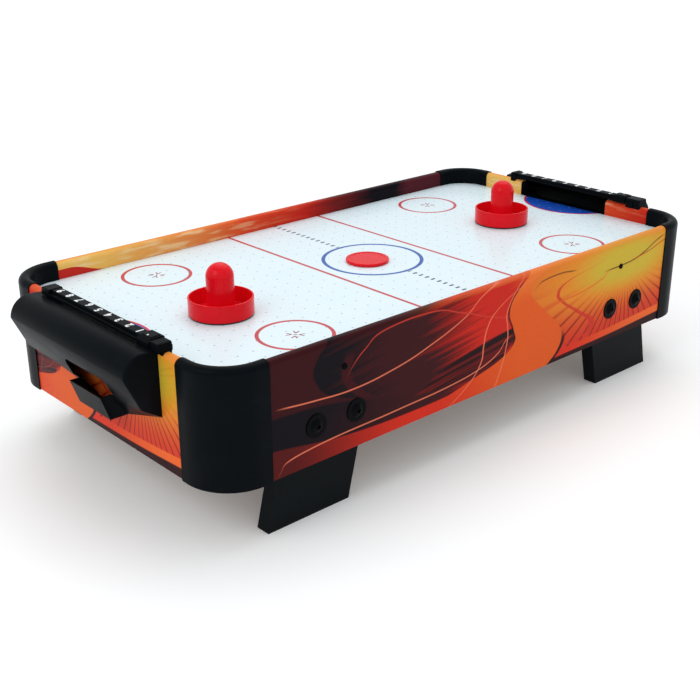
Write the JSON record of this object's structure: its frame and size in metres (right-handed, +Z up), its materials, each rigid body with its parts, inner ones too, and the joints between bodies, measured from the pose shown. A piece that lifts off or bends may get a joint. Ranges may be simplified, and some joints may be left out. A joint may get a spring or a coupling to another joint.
{
  "type": "air hockey table",
  "caption": "Tabletop air hockey table: low cabinet with rounded corners, printed side boards, white field, goal hoods, score rails, leaning legs, pushers and puck.",
  "frame": {"origin": "on the surface the legs stand on, under the middle of the table", "axes": "+X along the length from the left goal to the right goal, +Y across to the far side, +Z up"},
  "size_m": [1.1192, 0.5524, 0.3011],
  "materials": {
    "printed_board": "printed satin laminate on medium-density fibreboard, rounded top edge",
    "black_plastic": "satin black moulded plastic",
    "white_laminate": "smooth white laminate with printed rink lines",
    "raw_wood": "planed pine, unfinished",
    "fibreboard": "tempered fibreboard, smooth side out",
    "black_board": "black foil on fibreboard, slightly textured",
    "black_steel": "black oxide with a light sheen",
    "zinc_steel": "zinc-plated steel",
    "red_plastic": "glossy red moulded plastic",
    "black_felt": "short black felt",
    "lead_sheath": "black flexible sheath"
  },
  "bodies": {
    "cabinet": {"side_panel_near": "printed_board", "side_panel_far": "printed_board", "end_panel_left": "printed_board", "end_panel_right": "printed_board", "corner_cap_near_left": "black_plastic", "corner_cap_near_right": "black_plastic", "corner_cap_far_left": "black_plastic", "corner_cap_far_right": "black_plastic", "corner_blocks": "raw_wood", "playfield": "white_laminate", "side_rail_near": "raw_wood", "side_rail_far": "raw_wood", "end_rail_left": "raw_wood", "end_rail_right": "raw_wood", "cross_rail_left": "raw_wood", "cross_rail_right": "raw_wood", "bottom_board": "fibreboard", "board_screws": "zinc_steel", "leg_near_left": "black_board", "leg_near_right": "black_board", "leg_far_left": "black_board", "leg_far_right": "black_board", "leg_bolts": "black_steel", "leg_washers": "black_steel", "leg_nuts": "zinc_steel", "panel_screws": "black_steel", "goal_hood_left": "black_plastic", "goal_hood_right": "black_plastic", "hood_screws": "zinc_steel", "score_rail_left": "black_plastic", "score_rail_right": "black_plastic", "fan_frame": "black_plastic", "fan_motor": "black_plastic", "fan_guard": "zinc_steel", "fan_screws": "zinc_steel", "fan_nuts": "zinc_steel", "power_switch": "black_plastic", "power_inlet": "black_plastic", "inlet_nut": "black_plastic", "fan_lead": "lead_sheath", "lead_clips": "black_plastic"},
    "left_slider": {"score_slider_left": "black_plastic"},
    "right_slider": {"score_slider_right": "black_plastic"},
    "left_pusher": {"pusher_left": "red_plastic", "pusher_felt_left": "black_felt"},
    "right_pusher": {"pusher_right": "red_plastic", "pusher_felt_right": "black_felt"},
    "puck": {"puck": "red_plastic"},
    "rotor": {"fan_rotor": "black_plastic", "fan_shaft": "zinc_steel"},
    "rocker": {"power_rocker": "black_plastic"}
  },
  "joints": [
    {"name": "left_score_slide", "type": "slide", "parent": "cabinet", "child": "left_slider", "axis": [0, 1, 0], "range_m": [0, 0.2295]},
    {"name": "right_score_slide", "type": "slide", "parent": "cabinet", "child": "right_slider", "axis": [0, 1, 0], "range_m": [0, 0.2295]},
    {"name": "left_pusher_slide", "type": "slide", "parent": "cabinet", "child": "left_pusher", "axis": [1, 0, 0], "range_m": [-0.11, 0.232]},
    {"name": "right_pusher_slide", "type": "slide", "parent": "cabinet", "child": "right_pusher", "axis": [-1, 0, 0], "range_m": [-0.121, 0.246]},
    {"name": "puck_slide", "type": "slide", "parent": "cabinet", "child": "puck", "axis": [0, 1, 0], "range_m": [-0.2145, 0.2185]},
    {"name": "fan_spin", "type": "hinge", "parent": "cabinet", "child": "rotor", "pos_m": [0, 0, 0.18], "axis": [0, 0, 1], "continuous": true},
    {"name": "power_rock", "type": "hinge", "parent": "cabinet", "child": "rocker", "pos_m": [0.15, 0.267, 0.16], "axis": [-1, 0, 0], "range_deg": [0, 22]}
  ]
}
